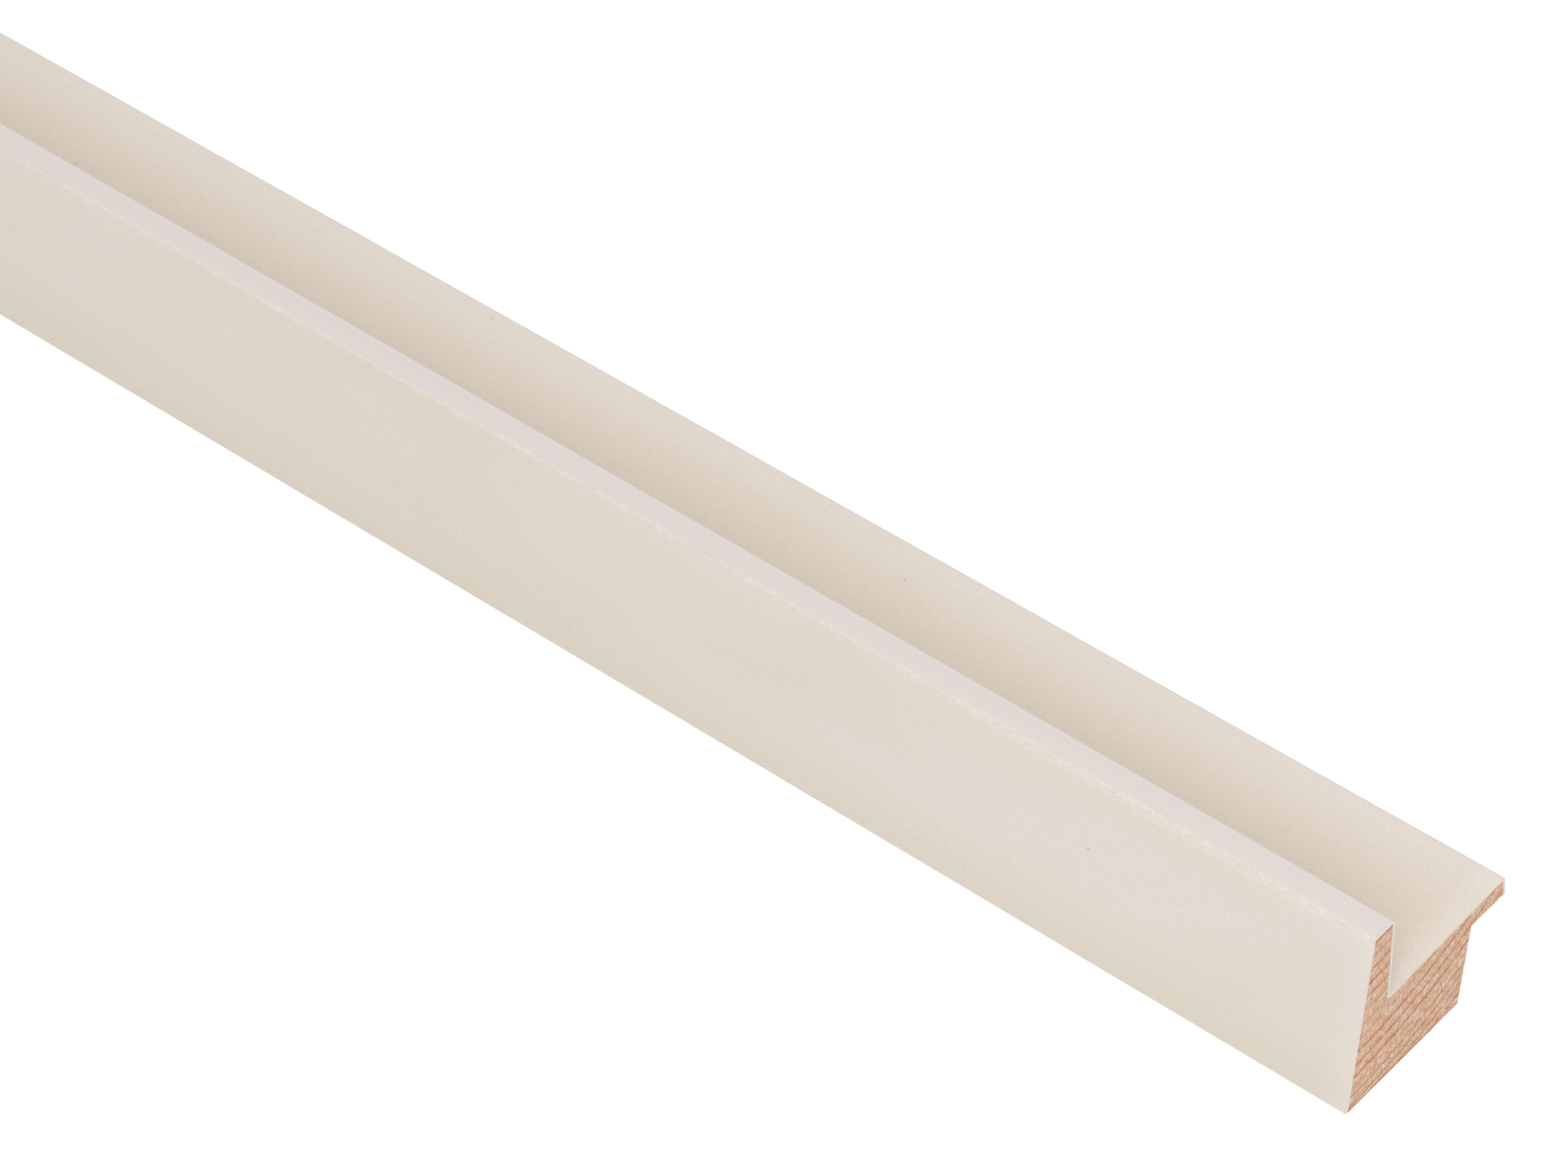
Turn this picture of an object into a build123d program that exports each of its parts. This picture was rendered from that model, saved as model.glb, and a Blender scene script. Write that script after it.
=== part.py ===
from build123d import *
import os

# Picture frame moulding: one stick of deep stepped section, milled from softwood and coated.
# The stick lies on its back along X. The outer face looks to -Y, the sight edge to +Y and the
# front of the frame up. The origin is the middle of the stick's box, at the back. Millimetres.

# The stick
stock_length = 1000.0  # sold length, sawn square at both ends
moulding_height = 25.0  # flat back to the top of the raised wall
back_width = 20.0  # flat back, from the outer face to the rebate

# The rebate, which holds the glass, the picture and its backing
rebate_width = 6.2  # overhang of the lip
rebate_depth = 11.3  # flat back to the lip's underside

# The front: a raised outer wall, then a floor that climbs to the sight edge
wall_top_width = 3.6  # across the wall's flat top
wall_batter = 1.4  # how much thicker the wall is at its foot
lip_thickness = 2.85  # of the lip, at the sight edge
floor_rise = 1.05  # from the wall's foot up to the sight edge
sight_slant = 0.65  # how far the sight edge leans out, from its top to its underside

# The gesso and paint on every face that shows
coat_thickness = 0.3
outer_arris_radius = 0.5  # outer top edge of the wall
inner_arris_radius = 0.45  # inner top edge of the wall
foot_corner_radius = 0.25  # inside corner at the wall's foot
sight_arris_radius = 0.4  # top of the sight edge

# Places across the section, and heights above the back
moulding_width = back_width + rebate_width
outer_face = -moulding_width / 2
rebate_wall = outer_face + back_width
sight_toe = rebate_wall + rebate_width
sight_top = sight_toe - sight_slant
wall_inner_top = outer_face + wall_top_width
wall_foot = wall_inner_top + wall_batter
sight_height = rebate_depth + lip_thickness
foot_height = sight_height - floor_rise

# The finished faces, from the back's outer edge over the front to the underside of the lip
front_corners = (
    (outer_face, 0),
    (outer_face, moulding_height),
    (wall_inner_top, moulding_height),
    (wall_foot, foot_height),
    (sight_top, sight_height),
    (sight_toe, rebate_depth),
)
front_radii = (outer_arris_radius, inner_arris_radius, foot_corner_radius, sight_arris_radius)

# The bare faces, on from there round the rebate and across the back
bare_corners = (
    (sight_toe, rebate_depth),
    (rebate_wall, rebate_depth),
    (rebate_wall, 0),
    (outer_face, 0),
)

with BuildSketch() as whole_section:
    with BuildLine():
        FilletPolyline(*front_corners, radius=front_radii)
        Polyline(*bare_corners)
    make_face()

# The coat is a band of even thickness inside the finished faces, cut off at the bare ones.
with BuildSketch() as coat_section:
    with BuildLine():
        front_line = FilletPolyline(*front_corners, radius=front_radii)
        offset(front_line, amount=coat_thickness, side=Side.LEFT)
    make_face()
    add(whole_section.sketch, mode=Mode.INTERSECT)

# Timber: all of the section that the coat leaves
with BuildPart() as timber_stick:
    with BuildSketch(Plane.YZ):
        add(whole_section.sketch)
        add(coat_section.sketch, mode=Mode.SUBTRACT)
    extrude(amount=stock_length / 2, both=True)

# Coat: one skin over the outer face, the wall, the floor and the sight edge
with BuildPart() as paint_coat:
    with BuildSketch(Plane.YZ):
        add(coat_section.sketch)
    extrude(amount=stock_length / 2, both=True)

os.makedirs("parts", exist_ok=True)
timber_stick.part.label = "timber_stick"
export_step(timber_stick.part, "parts/timber_stick.step")
paint_coat.part.label = "paint_coat"
export_step(paint_coat.part, "parts/paint_coat.step")
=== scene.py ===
import math

import bmesh
import bpy
from mathutils import Matrix, Vector


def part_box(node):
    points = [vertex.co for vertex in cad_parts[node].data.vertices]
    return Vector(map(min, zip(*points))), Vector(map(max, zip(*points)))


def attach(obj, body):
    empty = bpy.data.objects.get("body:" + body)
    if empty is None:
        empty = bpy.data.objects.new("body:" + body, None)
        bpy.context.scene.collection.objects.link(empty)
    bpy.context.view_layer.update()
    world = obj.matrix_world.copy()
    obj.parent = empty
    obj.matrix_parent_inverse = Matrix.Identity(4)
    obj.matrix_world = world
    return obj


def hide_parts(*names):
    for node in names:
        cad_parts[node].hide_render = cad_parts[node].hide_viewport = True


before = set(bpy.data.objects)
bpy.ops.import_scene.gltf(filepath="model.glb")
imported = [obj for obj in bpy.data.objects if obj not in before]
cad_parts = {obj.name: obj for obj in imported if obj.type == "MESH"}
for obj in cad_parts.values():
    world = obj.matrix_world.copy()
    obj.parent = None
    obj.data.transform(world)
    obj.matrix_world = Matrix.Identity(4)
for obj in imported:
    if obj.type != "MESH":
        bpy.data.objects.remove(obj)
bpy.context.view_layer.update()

# The pine stick
# One length of pine, milled by shaped knives to a deep stepped section. Its back, its rebate and the
# lip's underside stay bare and planed, and its ends show the growth rings.

mm = 0.001
stick_low, stick_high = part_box("timber_stick")
coat_low, coat_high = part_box("paint_coat")
coat_thickness = stick_low.y - coat_low.y
stick_length = stick_high.x - stick_low.x
back_width = 20.0 * mm
rebate_depth = 11.3 * mm
wall_top_width = 3.6 * mm
wall_batter = 1.4 * mm
lip_thickness = 2.85 * mm
floor_rise = 1.05 * mm
sight_slant = 0.65 * mm
foot_radius = 0.25 * mm
wood_arris = 0.2 * mm  # rounds the wood under the coat's outer top edge
end_cell = 0.125 * mm  # of the sawn ends' mesh, which carries the saw's relief
touching = 0.004 * mm  # places nearer to each other than this are one place

rebate_wall = coat_low.y + back_width
wall_inner = (coat_low.y + wall_top_width, coat_high.z)
wall_foot = (wall_inner[0] + wall_batter, rebate_depth + lip_thickness - floor_rise)
sight_top = (coat_high.y - sight_slant, rebate_depth + lip_thickness)
sight_toe = (coat_high.y, rebate_depth)


def cross(place):
    """The point of the section at this place across the stick and above its back."""
    return Vector((0, place[0], place[1]))


def outward(start, end):
    """The direction that a face of the section looks to, going round it with the wood on the right."""
    run = cross(end) - cross(start)
    return Vector((0, -run.z, run.y)).normalized()


inner_facing = outward(wall_inner, wall_foot)
floor_facing = outward(wall_foot, sight_top)
sight_facing = outward(sight_top, sight_toe)

section_width = stick_high.y - stick_low.y
section_height = stick_high.z - stick_low.z
bpy.ops.object.select_all(action="DESELECT")
bpy.ops.mesh.primitive_grid_add(
    x_subdivisions=round(section_width / end_cell),
    y_subdivisions=round(section_height / end_cell),
    size=1,
    location=(stick_high.x, (stick_low.y + stick_high.y) / 2, section_height / 2),
    rotation=(math.pi / 2, 0, math.pi / 2),
)
timber = bpy.context.object
timber.name = "pine_stick"
timber.scale = (section_width, section_height, 1)
bpy.ops.object.transform_apply(location=True, rotation=True, scale=True)


def plane_along(point, facing, clear=False):
    """Cuts the sheet in edit mode along a plane. With clear, what lies before the plane is gone."""
    bpy.ops.mesh.select_all(action="SELECT")
    bpy.ops.mesh.bisect(plane_co=point, plane_no=facing, clear_outer=clear)


def mill_hollow(knives):
    """Takes out what lies before every one of the knives, each a point and a facing."""
    for point, facing in knives:
        plane_along(point, facing)
    sheet = bmesh.from_edit_mesh(bpy.context.object.data)
    for face in sheet.faces:
        centre = face.calc_center_median()
        face.select_set(all((centre - point).dot(facing) > 0 for point, facing in knives))
    bmesh.update_edit_mesh(bpy.context.object.data)
    bpy.ops.mesh.delete(type="FACE")


bpy.ops.object.mode_set(mode="EDIT")
bpy.ops.mesh.select_mode(type="FACE")
up = Vector((0, 0, 1))
inwards = Vector((0, 1, 0))
under_wall = cross(wall_inner) - coat_thickness * inner_facing
under_floor = cross(wall_foot) - coat_thickness * floor_facing
channel = [(under_wall, inner_facing), (under_floor, floor_facing)]
foot_half_turn = inner_facing.angle(floor_facing) / 2
foot_middle = (inner_facing + floor_facing).normalized()
foot_centre = cross(wall_foot) + foot_radius / math.cos(foot_half_turn) * foot_middle
for share in (0.25, 0.5, 0.75):
    facet = inner_facing.slerp(floor_facing, share)
    channel.append((foot_centre - (foot_radius + coat_thickness) * facet, facet))
mill_hollow(channel)
rebate_corner = cross((rebate_wall, rebate_depth))
mill_hollow([(rebate_corner, inwards), (rebate_corner, -up)])
plane_along(cross(sight_toe) - coat_thickness * sight_facing, sight_facing, clear=True)
arris_centre = Vector((0, stick_low.y + wood_arris, stick_high.z - wood_arris))
for share in (0.2, 0.4, 0.6, 0.8):
    facet = (-inwards).slerp(up, share)
    plane_along(arris_centre + wood_arris * facet, facet, clear=True)
bpy.ops.mesh.select_all(action="SELECT")
bpy.ops.mesh.remove_doubles(threshold=touching)
bpy.ops.mesh.extrude_region_move(TRANSFORM_OT_translate={"value": (-stick_length, 0, 0)})
bpy.ops.mesh.select_all(action="SELECT")
bpy.ops.mesh.normals_make_consistent(inside=False)
bpy.ops.object.mode_set(mode="OBJECT")


def feed(tree, socket, given):
    """Gives an input what it needs: a link from another node's output, or a plain value."""
    if isinstance(given, bpy.types.NodeSocket):
        tree.links.new(given, socket)
    else:
        socket.default_value = given


def node(tree, kind, inputs=None, **settings):
    """Adds one node. Settings are set on it, and inputs go into its sockets, by name or number."""
    made = tree.nodes.new(kind)
    for name, value in settings.items():
        setattr(made, name, value)
    for socket, given in (inputs or {}).items():
        feed(tree, made.inputs[socket], given)
    return made


def maths(tree, kind, *terms):
    """A math node's result for these numbers or sockets."""
    return node(tree, "ShaderNodeMath", operation=kind, inputs=dict(enumerate(terms))).outputs[0]


def parts_of(tree, vector):
    """The X, Y and Z of a vector, as sockets under those names."""
    return node(tree, "ShaderNodeSeparateXYZ", inputs={0: vector}).outputs


def smooth_step(tree, value, start, end):
    """0 up to start, 1 from end on, and smooth between them. Start may be the larger."""
    step = node(
        tree, "ShaderNodeMapRange", interpolation_type="SMOOTHSTEP",
        inputs={"Value": value, "From Min": start, "From Max": end},
    )
    return step.outputs["Result"]


def noise(tree, place, per_metre, detail=2.0, roughness=0.5):
    """Noise about 0.5, with this many cells to the metre along each axis."""
    stretched = node(
        tree, "ShaderNodeVectorMath", operation="MULTIPLY", inputs={0: place, 1: per_metre}
    )
    cloud = node(
        tree, "ShaderNodeTexNoise",
        inputs={"Vector": stretched.outputs[0], "Scale": 1.0, "Detail": detail, "Roughness": roughness},
    )
    return cloud.outputs[0]


def laid_over(tree, under, over, share, strength=1.0):
    """One colour laid over another, by share and at this strength."""
    mixed = node(tree, "ShaderNodeMix", data_type="RGBA")
    cover = maths(tree, "MULTIPLY", share, strength)
    for identifier, given in (("Factor_Float", cover), ("A_Color", under), ("B_Color", over)):
        feed(tree, next(s for s in mixed.inputs if s.identifier == identifier), given)
    return next(s for s in mixed.outputs if s.identifier == "Result_Color")


def on_sawn_ends(tree):
    """1 on the two sawn ends, and 0 on the faces that run along the stick."""
    facing = parts_of(tree, node(tree, "ShaderNodeNewGeometry").outputs["Normal"])
    return smooth_step(tree, maths(tree, "ABSOLUTE", facing["X"]), 0.7, 0.9)


# The pith lay above the outer wall, so the rings climb towards the lip. The tree put on nearly two
# millimetres a year, and then one and a half. Its grain runs a little aslant.
pith_across = -15.4 * mm
pith_above = 59.7 * mm
grain_slope = 0.007
growth = (  # each stretch of growth: its nearer and farther distance from the pith, and its years
    (1.2 * mm, 55.2 * mm, 28),
    (55.2 * mm, 83.7 * mm, 20),
)
wavers = (  # each waver of the rings: its cells to the metre, and how far it moves them
    ((7, 22, 22), 1.2 * mm),
    ((30, 330, 330), 0.32 * mm),
    ((60, 5000, 5000), 0.5 * mm),
)
winters = 53511  # seeds how dark each year's latewood is


def round_the_pith(tree, place):
    """The place as one along the stick, one out from the pith and one round it, all in metres."""
    parts = parts_of(tree, place)
    across = maths(tree, "SUBTRACT", parts["Y"], pith_across)
    below = maths(tree, "SUBTRACT", pith_above, parts["Z"])
    square = maths(tree, "MULTIPLY_ADD", below, below, maths(tree, "MULTIPLY", across, across))
    outwards = maths(tree, "SQRT", square)
    way_round = maths(tree, "MULTIPLY", maths(tree, "ARCTAN2", across, below), pith_above)
    turned = node(
        tree, "ShaderNodeCombineXYZ", inputs={"X": parts["X"], "Y": outwards, "Z": way_round}
    )
    return turned.outputs[0]


def growth_rings(tree, place):
    """Adds the pine's rings to a node tree. Returns how far each point is into latewood, 0 to 1."""
    turned = parts_of(tree, round_the_pith(tree, place))
    along = maths(tree, "SUBTRACT", stick_high.x, turned["X"])
    radius = maths(tree, "MULTIPLY_ADD", along, grain_slope, turned["Y"])
    for per_metre, reach in wavers:
        waver = maths(tree, "SUBTRACT", noise(tree, place, per_metre, detail=1.0), 0.5)
        radius = maths(tree, "MULTIPLY_ADD", waver, reach, radius)
    season = 0.0
    for nearer, farther, years in growth:
        grown = node(
            tree, "ShaderNodeMapRange",
            inputs={"Value": radius, "From Min": nearer, "From Max": farther, "To Max": years},
        )
        season = maths(tree, "ADD", grown.outputs["Result"], season)
    year = maths(tree, "FLOOR", season)
    into_year = maths(tree, "SUBTRACT", season, year)

    # Through a year the wood darkens slowly, and then fast into one dark line. The next starts pale.
    thickening = maths(tree, "MULTIPLY", smooth_step(tree, into_year, 0.4, 0.85), 0.3)
    line = maths(tree, "MULTIPLY_ADD", smooth_step(tree, into_year, 0.77, 0.88), 0.75, thickening)
    latewood = maths(tree, "MULTIPLY", line, smooth_step(tree, into_year, 1.0, 0.93))

    # Some years end darker than others, and each line is broken here and there.
    harshness = node(
        tree, "ShaderNodeTexWhiteNoise", noise_dimensions="1D",
        inputs={"W": maths(tree, "ADD", year, winters)},
    )
    strength = maths(tree, "MULTIPLY_ADD", harshness.outputs["Value"], 0.7, 0.3)
    broken = smooth_step(tree, noise(tree, place, (60, 1100, 1100)), 0.3, 0.6)
    strength = maths(tree, "MULTIPLY", strength, maths(tree, "MULTIPLY_ADD", broken, 0.4, 0.6))
    return maths(tree, "MULTIPLY", latewood, strength)


# Pinkish tan earlywood between thin red-brown latewood lines, finely mottled where the saw cut the
# fibres across, and drawn out into long fibres on the planed faces. The mottling runs out from the
# pith as the wood's rays do.
pale_earlywood = (0.87, 0.655, 0.50, 1)
tan_earlywood = (0.545, 0.27, 0.145, 1)
ruddy_earlywood = (0.71, 0.40, 0.265, 1)
red_latewood = (0.41, 0.125, 0.03, 1)
pale_fleck = (0.92, 0.77, 0.64, 1)
paint_smear = (0.80, 0.74, 0.69, 1)
# Saw scorch and painted shade, for the end's lower edge.
scorch_and_shade_brown = (0.36, 0.15, 0.065, 1)
grey_lilac_trace = (0.66, 0.55, 0.52, 1)

pine = bpy.data.materials.new("bare_pine")
pine.use_nodes = True
tree = pine.node_tree
surface = tree.nodes["Principled BSDF"]
place = node(tree, "ShaderNodeTexCoord").outputs["Object"]
_, across, above_back = parts_of(tree, place).values()
latewood = growth_rings(tree, place)
ringwise = round_the_pith(tree, place)
fibre = noise(tree, ringwise, (60, 4200, 6600), detail=2.0, roughness=0.7)
clumps = noise(tree, ringwise, (25, 1400, 2600), detail=1.0)
warmth = smooth_step(tree, noise(tree, place, (15, 550, 550)), 0.45, 0.65)
richness = smooth_step(tree, noise(tree, place, (12, 400, 400), detail=1.0), 0.4, 0.6)
flecks = noise(tree, ringwise, (30, 1300, 2000), detail=2.0, roughness=0.6)
fleck = maths(tree, "MULTIPLY", smooth_step(tree, flecks, 0.54, 0.64), richness)
grainy = maths(tree, "MULTIPLY_ADD", maths(tree, "SUBTRACT", clumps, 0.5), 0.55, fibre)
wood = laid_over(tree, tan_earlywood, pale_earlywood, smooth_step(tree, grainy, 0.24, 0.74))
wood = laid_over(tree, wood, ruddy_earlywood, warmth, 0.3)
wood = laid_over(tree, wood, pale_fleck, fleck, 0.8)
wood = laid_over(tree, wood, red_latewood, latewood)

# The saw smeared paint onto the wood beside the coat, by up to about 0.2 mm. The lower edge of the end
# is darker, partly scorched by the saw and partly painted shade where the stick meets the floor.
# Towards the rebate a grey-lilac trace runs along that edge as well.
to_coat = node(tree, "ShaderNodeAttribute", attribute_name="to_coat").outputs["Fac"]
ragged = maths(tree, "MULTIPLY_ADD", noise(tree, place, (2000, 3000, 3000)), -0.5 * mm, to_coat)
wood = laid_over(tree, wood, paint_smear, smooth_step(tree, ragged, -0.17 * mm, -0.27 * mm))
sawn = on_sawn_ends(tree)
# Saw scorch and painted shade: the end darkens along the edge at its back.
low = maths(tree, "MULTIPLY_ADD", noise(tree, place, (900, 900, 900)), 0.4 * mm, above_back)
scorch_and_shade = maths(tree, "MULTIPLY", smooth_step(tree, low, 0.62 * mm, 0.35 * mm), sawn)
wood = laid_over(tree, wood, scorch_and_shade_brown, scorch_and_shade, 0.8)
# A grey-lilac trace along the end's lower edge, towards the rebate.
low = maths(tree, "MULTIPLY_ADD", noise(tree, place, (2500, 2500, 2500)), 0.3 * mm, above_back)
trace = maths(tree, "MULTIPLY", smooth_step(tree, low, 0.4 * mm, 0.28 * mm), sawn)
by_rebate = smooth_step(tree, across, rebate_wall - 4.6 * mm, rebate_wall - 3.6 * mm)
wood = laid_over(tree, wood, grey_lilac_trace, trace, by_rebate)
tree.links.new(wood, surface.inputs["Base Color"])
surface.inputs["Roughness"].default_value = 0.7
surface.inputs["Specular IOR Level"].default_value = 0.2
relief = maths(tree, "MULTIPLY_ADD", latewood, 0.2, fibre)
bump = node(tree, "ShaderNodeBump", inputs={"Strength": 0.1, "Distance": 0.05 * mm, "Height": relief})
tree.links.new(bump.outputs[0], surface.inputs["Normal"])
timber.data.materials.clear()
timber.data.materials.append(pine)
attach(timber, "root")
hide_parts("timber_stick")

# The coat
# Gesso and warm white paint, sprayed on every face that shows in a frame: the outer face, the wall,
# the sloping floor and the sight edge. The saw that cut the ends cut it too, so its edge shows there.

outer_arris = 0.5 * mm
inner_arris = 0.45 * mm
sight_arris = 0.4 * mm
strip = 2.4 * mm  # width of the strips that the coat's mesh is cut into
outer_top = (coat_low.y, coat_high.z)
corners = [
    (coat_low.y, coat_low.z),
    outer_top,
    wall_inner,
    wall_foot,
    sight_top,
    sight_toe,
]
bpy.ops.object.select_all(action="DESELECT")
bpy.ops.mesh.primitive_plane_add(size=mm, location=(coat_low.x, *corners[0]))
coat = bpy.context.object
coat.name = "gesso_and_paint"
bpy.ops.object.transform_apply(location=True, rotation=False, scale=False)
bpy.ops.object.mode_set(mode="EDIT")
bpy.ops.mesh.select_mode(type="VERT")
bpy.ops.mesh.select_all(action="SELECT")
bpy.ops.mesh.merge(type="CENTER")
for start, end in zip(corners, corners[1:]):
    bpy.ops.mesh.extrude_vertices_move(TRANSFORM_OT_translate={"value": cross(end) - cross(start)})
bpy.ops.mesh.select_all(action="SELECT")
bpy.ops.mesh.extrude_edges_move(TRANSFORM_OT_translate={"value": (stick_length, 0, 0)})


def runs_along(edge):
    """True for an edge that runs the length of the stick."""
    return abs(edge.verts[0].co.x - edge.verts[1].co.x) > touching


def follows(edge, corner):
    """True for an edge that runs the length of the stick at this corner of the section."""
    return runs_along(edge) and (cross(edge.verts[0].co.yz) - cross(corner)).length < touching


def choose_edges(wanted):
    """Selects the edges of the mesh in edit mode for which wanted says yes, and nothing else."""
    bpy.ops.mesh.select_mode(type="EDGE")
    bpy.ops.mesh.select_all(action="DESELECT")
    sheet = bmesh.from_edit_mesh(bpy.context.object.data)
    for edge in sheet.edges:
        if wanted(edge):
            edge.select_set(True)
    bmesh.update_edit_mesh(bpy.context.object.data)


radii = (outer_arris, inner_arris, foot_radius, sight_arris)
for before, corner, after, radius in zip(corners, corners[1:], corners[2:], radii):
    choose_edges(lambda edge: follows(edge, corner))
    between = (cross(before) - cross(corner)).angle(cross(after) - cross(corner))
    bpy.ops.mesh.bevel(offset=radius / math.tan(between / 2), segments=7, profile=0.5)

for step in range(1, int(coat_high.z / strip)):
    plane_along(Vector((0, 0, step * strip)), up)
for step in range(1, int((coat_high.y - coat_low.y) / strip) + 1):
    plane_along(Vector((0, coat_low.y + step * strip, 0)), inwards)
for cuts in (99, 4):  # into a hundred lengths, and each of those into five
    choose_edges(runs_along)
    bpy.ops.mesh.subdivide(number_cuts=cuts)
bpy.ops.mesh.select_all(action="SELECT")
bpy.ops.mesh.normals_make_consistent(inside=False)
bpy.ops.object.mode_set(mode="OBJECT")

for name, size, depth in (("brushed_swell", 18 * mm, 0.05 * mm), ("rubbed_arris", 3 * mm, 0.012 * mm)):
    swell = bpy.data.textures.new(name, type="CLOUDS")
    swell.noise_scale = size
    unevenness = coat.modifiers.new(name, "DISPLACE")
    unevenness.texture = swell
    unevenness.strength = depth
    bpy.ops.object.modifier_apply(modifier=name)
skin = coat.modifiers.new("skin", "SOLIDIFY")
skin.thickness = coat_thickness
skin.offset = -1
skin.use_even_offset = True
bpy.ops.object.modifier_apply(modifier="skin")
bpy.ops.object.shade_smooth_by_angle(angle=math.radians(35))

# The paint is a warm, matt white with a fine stipple. It is cooler on the wall's flat top and has a few
# specks of grit in it.
# In the channel and low on the outer face it is creamier and darker, which is painted shade.
warm_white = (0.755, 0.692, 0.632, 1)
# The paint's own cream, also laid on as painted shade low on the outer face.
cream_and_shade = (0.71, 0.642, 0.548, 1)
# Painted shade for the channel by the wall.
channel_shade_cream = (0.705, 0.622, 0.515, 1)
rose = (0.765, 0.688, 0.642, 1)
cool_white = (0.732, 0.664, 0.64, 1)
# Painted shade and light for the wall's top edges.
arris_shade_cream = (0.677, 0.62, 0.552, 1)
arris_highlight_cream = (0.785, 0.722, 0.652, 1)
inner_arris_light = (0.77, 0.705, 0.67, 1)
# Painted light near the sawn ends.
end_light_white = (0.81, 0.75, 0.69, 1)
dark_grit = (0.42, 0.36, 0.31, 1)
gesso = (0.84, 0.765, 0.70, 1)
stained_gesso = (0.80, 0.70, 0.60, 1)
specks_per_metre = 30  # both along the stick and across it
speck_radius = 0.2 * mm

paint = bpy.data.materials.new("white_coat")
paint.use_nodes = True
tree = paint.node_tree
surface = tree.nodes["Principled BSDF"]
place = node(tree, "ShaderNodeTexCoord").outputs["Object"]
along, across, height = parts_of(tree, place).values()
clouds = smooth_step(tree, noise(tree, place, (22, 60, 60), detail=2.0), 0.4, 0.7)
patches = smooth_step(tree, noise(tree, place, (30, 110, 110), detail=1.0), 0.45, 0.7)
tone = laid_over(tree, warm_white, cream_and_shade, clouds, 0.4)
tone = laid_over(tree, tone, rose, patches, 0.6)
# Creamier and darker towards the floor: painted shade on the low part of the outer face.
tone = laid_over(tree, tone, cream_and_shade, smooth_step(tree, height, 11 * mm, 0.0), 0.8)
# Painted shade in the channel: darker and warmer towards the wall's foot, as under the wall's shade and
# its cream bounce light.
towards_wall = smooth_step(tree, across, coat_high.y + 3 * mm, 1 * mm)
past_wall_top = smooth_step(tree, across, wall_inner[0], wall_foot[0])
shaded_channel = maths(tree, "MULTIPLY", towards_wall, past_wall_top)
tone = laid_over(tree, tone, channel_shade_cream, shaded_channel, 0.85)
unrolled = node(
    tree, "ShaderNodeCombineXYZ", inputs={"X": along, "Y": maths(tree, "ADD", across, height)}
)
grit = node(
    tree, "ShaderNodeTexVoronoi", voronoi_dimensions="2D",
    inputs={"Vector": unrolled.outputs[0], "Scale": specks_per_metre},
)
from_grit = maths(tree, "DIVIDE", grit.outputs["Distance"], specks_per_metre)
speck = smooth_step(tree, from_grit, speck_radius, speck_radius / 2)
tone = laid_over(tree, tone, dark_grit, speck, 0.6)

# Away from the sawn ends the outer face is a little creamier. Close to the ends the paint is paler,
# which is painted light where the open ends let more light in.
from_end = maths(tree, "SUBTRACT", coat_high.x, maths(tree, "ABSOLUTE", along))
on_outer_face = smooth_step(tree, across, coat_low.y + 2 * mm, coat_low.y + 1 * mm)
creamier_far_out = maths(tree, "MULTIPLY", on_outer_face, smooth_step(tree, from_end, 30 * mm, 110 * mm))
tone = laid_over(tree, tone, cream_and_shade, creamier_far_out, 0.25)
# Painted light within 4 mm of each sawn end.
tone = laid_over(tree, tone, end_light_white, smooth_step(tree, from_end, 4 * mm, 0.0), 0.4)
on_top = smooth_step(tree, height, coat_high.z - 0.35 * mm, coat_high.z - 0.05 * mm)
tone = laid_over(tree, tone, cool_white, on_top)

# Both top edges of the wall are painted raggedly: painted shade along the outer edge, which damps its
# highlight, and painted light along the inner one, which lifts its shade. Near the ends a painted
# highlight band lies under the outer edge as well.
in_section = node(tree, "ShaderNodeVectorMath", operation="MULTIPLY", inputs={0: place, 1: (0, 1, 1)})
wobble = noise(tree, place, (1800, 3000, 3000), detail=2.0, roughness=0.7)
wander = maths(tree, "SUBTRACT", noise(tree, place, (300, 500, 500), detail=1.0), 0.5)
wobble = maths(tree, "MULTIPLY_ADD", wander, 0.3, wobble)
unevenly = maths(tree, "SUBTRACT", wobble, 0.5)
below_arris = (coat_low.y, coat_high.z - 0.55 * mm)  # the middle of the pale band
highlight_near_ends = maths(tree, "MULTIPLY", smooth_step(tree, from_end, 85 * mm, 5 * mm), 0.75)
# Each edge: a painted highlight band below the outer edge, painted shade on the outer edge, painted
# light on the inner one.
for painted_at, reach, painted_tone, strength in (
    (below_arris, 0.95 * mm, arris_highlight_cream, highlight_near_ends),
    (outer_top, 0.55 * mm, arris_shade_cream, 0.9),
    (wall_inner, 0.95 * mm, inner_arris_light, 0.7),
):
    away = node(
        tree, "ShaderNodeVectorMath", operation="DISTANCE",
        inputs={0: in_section.outputs[0], 1: cross(painted_at)},
    )
    ragged = maths(tree, "MULTIPLY_ADD", unevenly, 1.4 * mm, away.outputs["Value"])
    painted_edge = smooth_step(tree, ragged, reach, reach * 0.25)
    tone = laid_over(tree, tone, painted_tone, painted_edge, strength)

# On the sawn ends the coat's edge is bare gesso, stained by the saw along the floor.
past_foot = smooth_step(tree, across, wall_foot[0] + 1 * mm, wall_foot[0] + 5 * mm)
before_sight = smooth_step(tree, across, sight_top[0], sight_top[0] - 1 * mm)
on_floor = maths(tree, "MULTIPLY", past_foot, before_sight)
cut_edge = laid_over(tree, gesso, stained_gesso, on_floor)
tone = laid_over(tree, tone, cut_edge, on_sawn_ends(tree))
stipple = noise(tree, place, (8000, 8000, 8000), detail=1.0, roughness=0.7)
brightness = maths(tree, "MULTIPLY_ADD", stipple, 0.36, 0.82)
speckled = node(tree, "ShaderNodeHueSaturation", inputs={"Value": brightness, "Color": tone})
tree.links.new(speckled.outputs[0], surface.inputs["Base Color"])
surface.inputs["Roughness"].default_value = 0.6
surface.inputs["Specular IOR Level"].default_value = 0.3
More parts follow.
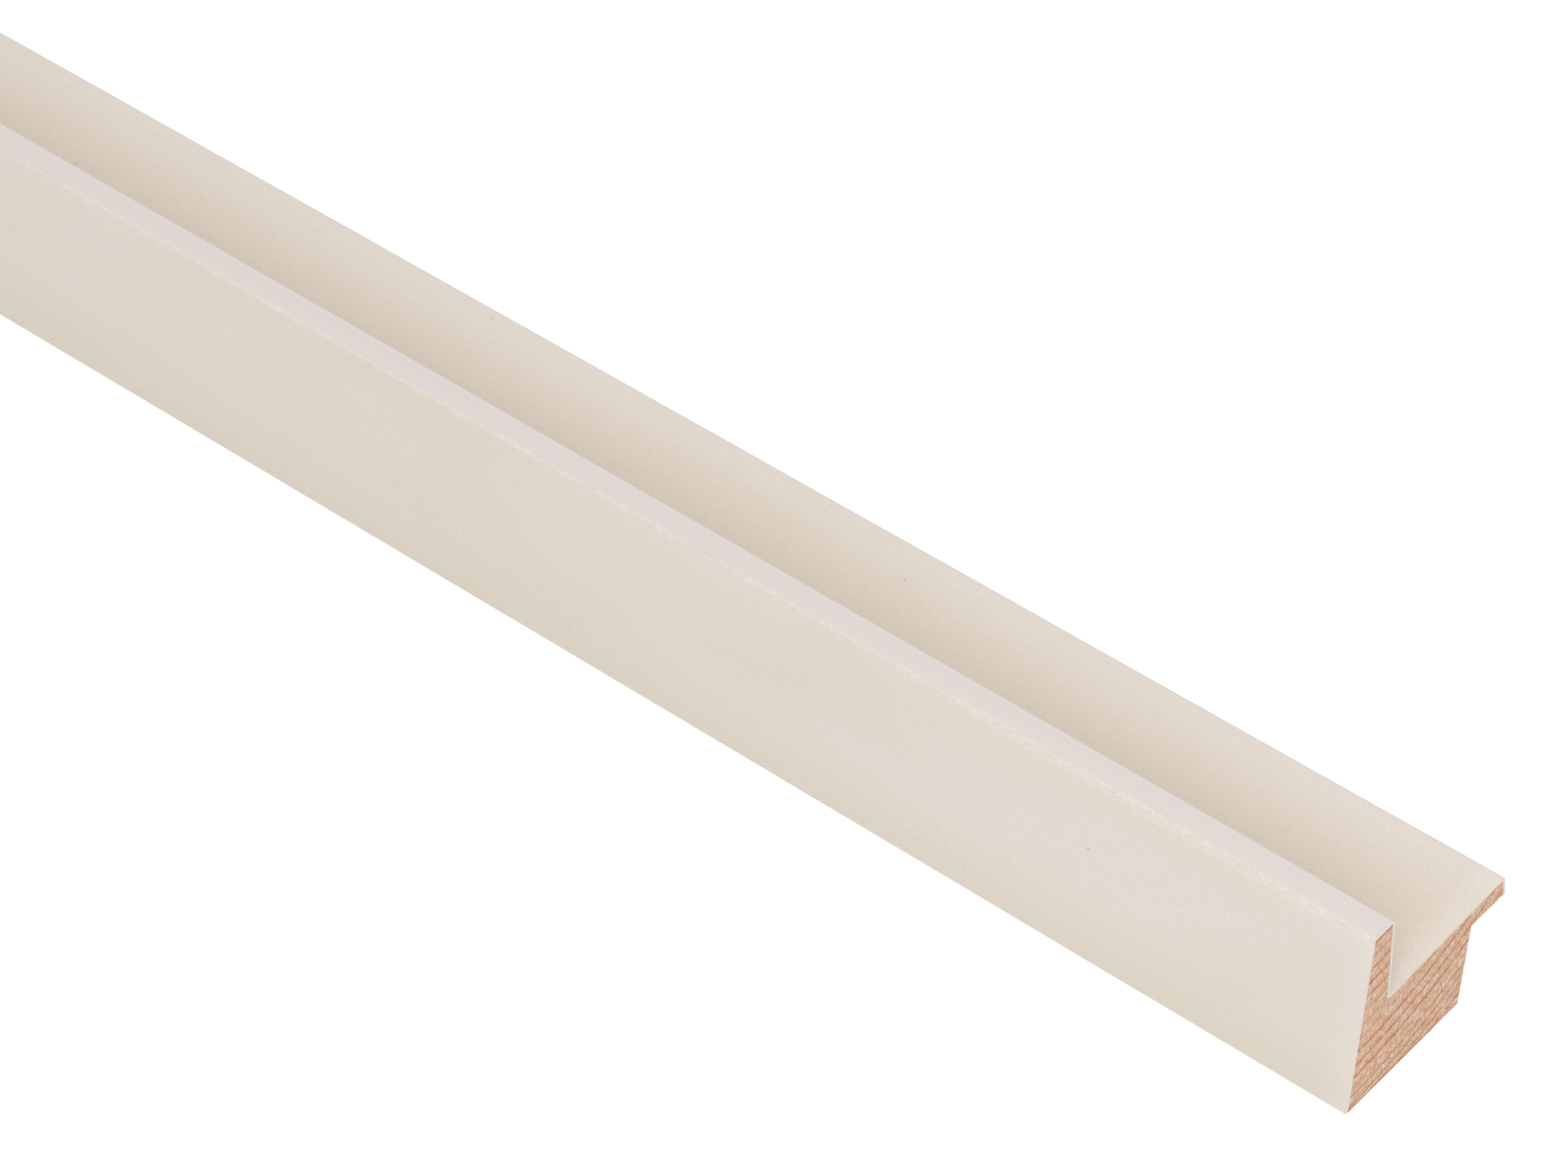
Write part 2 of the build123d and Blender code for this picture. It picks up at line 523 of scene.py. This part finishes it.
peel = maths(tree, "MULTIPLY_ADD", noise(tree, place, (1400, 1400, 1400)), 0.3, stipple)
bump = node(tree, "ShaderNodeBump", inputs={"Strength": 0.45, "Distance": 0.04 * mm, "Height": peel})
tree.links.new(bump.outputs[0], surface.inputs["Normal"])
coat.data.materials.clear()
coat.data.materials.append(paint)
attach(coat, "root")
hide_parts("paint_coat")

# The sawn ends
# A fine saw cuts both ends square, through the wood and its coat together. It leaves latewood a little
# proud of the softer earlywood, and the coat's edge a little proud of both. The timber's mesh also
# learns how far each point of it is from the coat.

coat_proud = 0.009 * mm
latewood_proud = 0.004 * mm
torn_depth = 0.006 * mm

saw_marks = bpy.data.node_groups.new("saw_marks", "GeometryNodeTree")
saw_marks.interface.new_socket("Geometry", in_out="INPUT", socket_type="NodeSocketGeometry")
saw_marks.interface.new_socket("Geometry", in_out="OUTPUT", socket_type="NodeSocketGeometry")
stock = node(saw_marks, "NodeGroupInput")
place = node(saw_marks, "GeometryNodeInputPosition").outputs[0]
latewood = growth_rings(saw_marks, place)
torn = noise(saw_marks, place, (3000, 3000, 3000))
sunk = maths(saw_marks, "MULTIPLY_ADD", latewood, -latewood_proud, coat_proud)
sunk = maths(saw_marks, "MULTIPLY_ADD", torn, torn_depth, sunk)
from_middle = maths(saw_marks, "SIGN", parts_of(saw_marks, place)["X"])
to_middle = maths(saw_marks, "MULTIPLY", from_middle, -1.0)
shift = maths(saw_marks, "MULTIPLY", sunk, to_middle)
offset = node(saw_marks, "ShaderNodeCombineXYZ", inputs={"X": shift})
moved = node(
    saw_marks, "GeometryNodeSetPosition",
    inputs={"Geometry": stock.outputs[0], "Offset": offset.outputs[0]},
)
coat_shape = node(saw_marks, "GeometryNodeObjectInfo", inputs={"Object": coat})
nearness = node(
    saw_marks, "GeometryNodeProximity", target_element="FACES",
    inputs={0: coat_shape.outputs["Geometry"]},
)
known = node(
    saw_marks, "GeometryNodeStoreNamedAttribute", data_type="FLOAT", domain="POINT",
    inputs={"Geometry": moved.outputs[0], "Name": "to_coat", "Value": nearness.outputs["Distance"]},
)
node(saw_marks, "NodeGroupOutput", inputs={0: known.outputs[0]})
bpy.ops.object.select_all(action="DESELECT")
timber.select_set(True)
bpy.context.view_layer.objects.active = timber
sawing = timber.modifiers.new("saw_marks", "NODES")
sawing.node_group = saw_marks
bpy.ops.object.modifier_apply(modifier="saw_marks")
bpy.ops.object.shade_smooth_by_angle(angle=math.radians(35))
bpy.data.node_groups.remove(saw_marks)

# The floor and the light
# A plain white floor in a white room, under one large softbox that hangs high up beyond the sawn
# end. A small one stands in front of the outer face.

floor_width = 12
bpy.ops.object.select_all(action="DESELECT")
bpy.ops.mesh.primitive_plane_add(size=floor_width, location=(0, 0, 0))
floor = bpy.context.object
floor.name = "white_floor"
white = bpy.data.materials.new("white_floor")
white.use_nodes = True
tree = white.node_tree
tree.nodes.remove(tree.nodes["Principled BSDF"])


def lit_or_seen(tree, lighting, seen):
    """One shader for light on its way to the stick, and one for what is looked at or reflected."""
    path = node(tree, "ShaderNodeLightPath").outputs
    direct = maths(tree, "MAXIMUM", path["Is Camera Ray"], path["Is Glossy Ray"])
    direct = maths(tree, "MAXIMUM", direct, path["Is Transmission Ray"])
    return node(tree, "ShaderNodeMixShader", inputs={0: direct, 1: lighting, 2: seen}).outputs[0]


# The stick is lit off a plain matt floor. What the camera sees glows nearly white, and the faint
# matt part under the glow keeps the stick's shadow.
matt = node(tree, "ShaderNodeBsdfDiffuse", inputs={"Color": (0.8, 0.8, 0.8, 1)})
faint = node(tree, "ShaderNodeBsdfDiffuse", inputs={"Color": (0.3, 0.3, 0.3, 1)})
glow = node(tree, "ShaderNodeEmission", inputs={"Strength": 0.78})
shadowed = node(tree, "ShaderNodeAddShader", inputs={0: faint.outputs[0], 1: glow.outputs[0]})
finish = lit_or_seen(tree, matt.outputs[0], shadowed.outputs[0])
tree.links.new(finish, tree.nodes["Material Output"].inputs["Surface"])
floor.data.materials.append(white)

world = bpy.data.worlds.new("studio")
bpy.context.scene.world = world
world.use_nodes = True
tree = world.node_tree
room = node(tree, "ShaderNodeBackground", inputs={"Color": (1, 1, 1, 1), "Strength": 0.6})
backdrop = node(tree, "ShaderNodeBackground", inputs={"Color": (1, 1, 1, 1), "Strength": 1.0})
finish = lit_or_seen(tree, room.outputs[0], backdrop.outputs[0])
tree.links.new(finish, tree.nodes["World Output"].inputs["Surface"])


def softbox(name, size, stands_at, aim, power):
    """A square white lamp of this size, turned to its aim."""
    bpy.ops.object.light_add(type="AREA", location=stands_at)
    lamp = bpy.context.object
    lamp.name = name
    lamp.data.size = size
    lamp.data.energy = power
    lamp.rotation_euler = (Vector(aim) - Vector(stands_at)).to_track_quat("-Z", "Y").to_euler()


softbox("high_softbox", 2.2, stands_at=(1.141, -0.664, 1.943), aim=(0.35, 0, 0), power=15.2)
softbox("front_softbox", 0.7, stands_at=(0.9, -0.75, 0.78), aim=(0.5, 0, 0), power=4.5)

# The camera
# It looks down on the sawn end from in front of the outer face, with a long lens and a slight tilt.
# It aims to the left of the end and above it, because the stick runs off the picture there.

end_of_stick = Vector((0.5, 0, 0))
aim_offset = Vector((-64.1631, 45.7953, 0)) * mm
azimuth = math.radians(36.873)
elevation = math.radians(42.310)
roll = math.radians(3.073)
distance = 543.311 * mm
frame_width = 2212
focal_pixels = 7590.07
sensor_width = 36.0
turn = (
    Matrix.Rotation(azimuth, 3, "Z")
    @ Matrix.Rotation(math.pi / 2 - elevation, 3, "X")
    @ Matrix.Rotation(roll, 3, "Z")
)
aim = end_of_stick + turn @ aim_offset
bpy.ops.object.camera_add()
camera = bpy.context.object
camera.data.sensor_width = sensor_width
camera.data.lens = focal_pixels * sensor_width / frame_width
camera.data.clip_start = 0.01
camera.matrix_world = Matrix.Translation(aim + turn @ Vector((0, 0, distance))) @ turn.to_4x4()
bpy.context.scene.camera = camera
bpy.context.scene.view_settings.view_transform = "Standard"
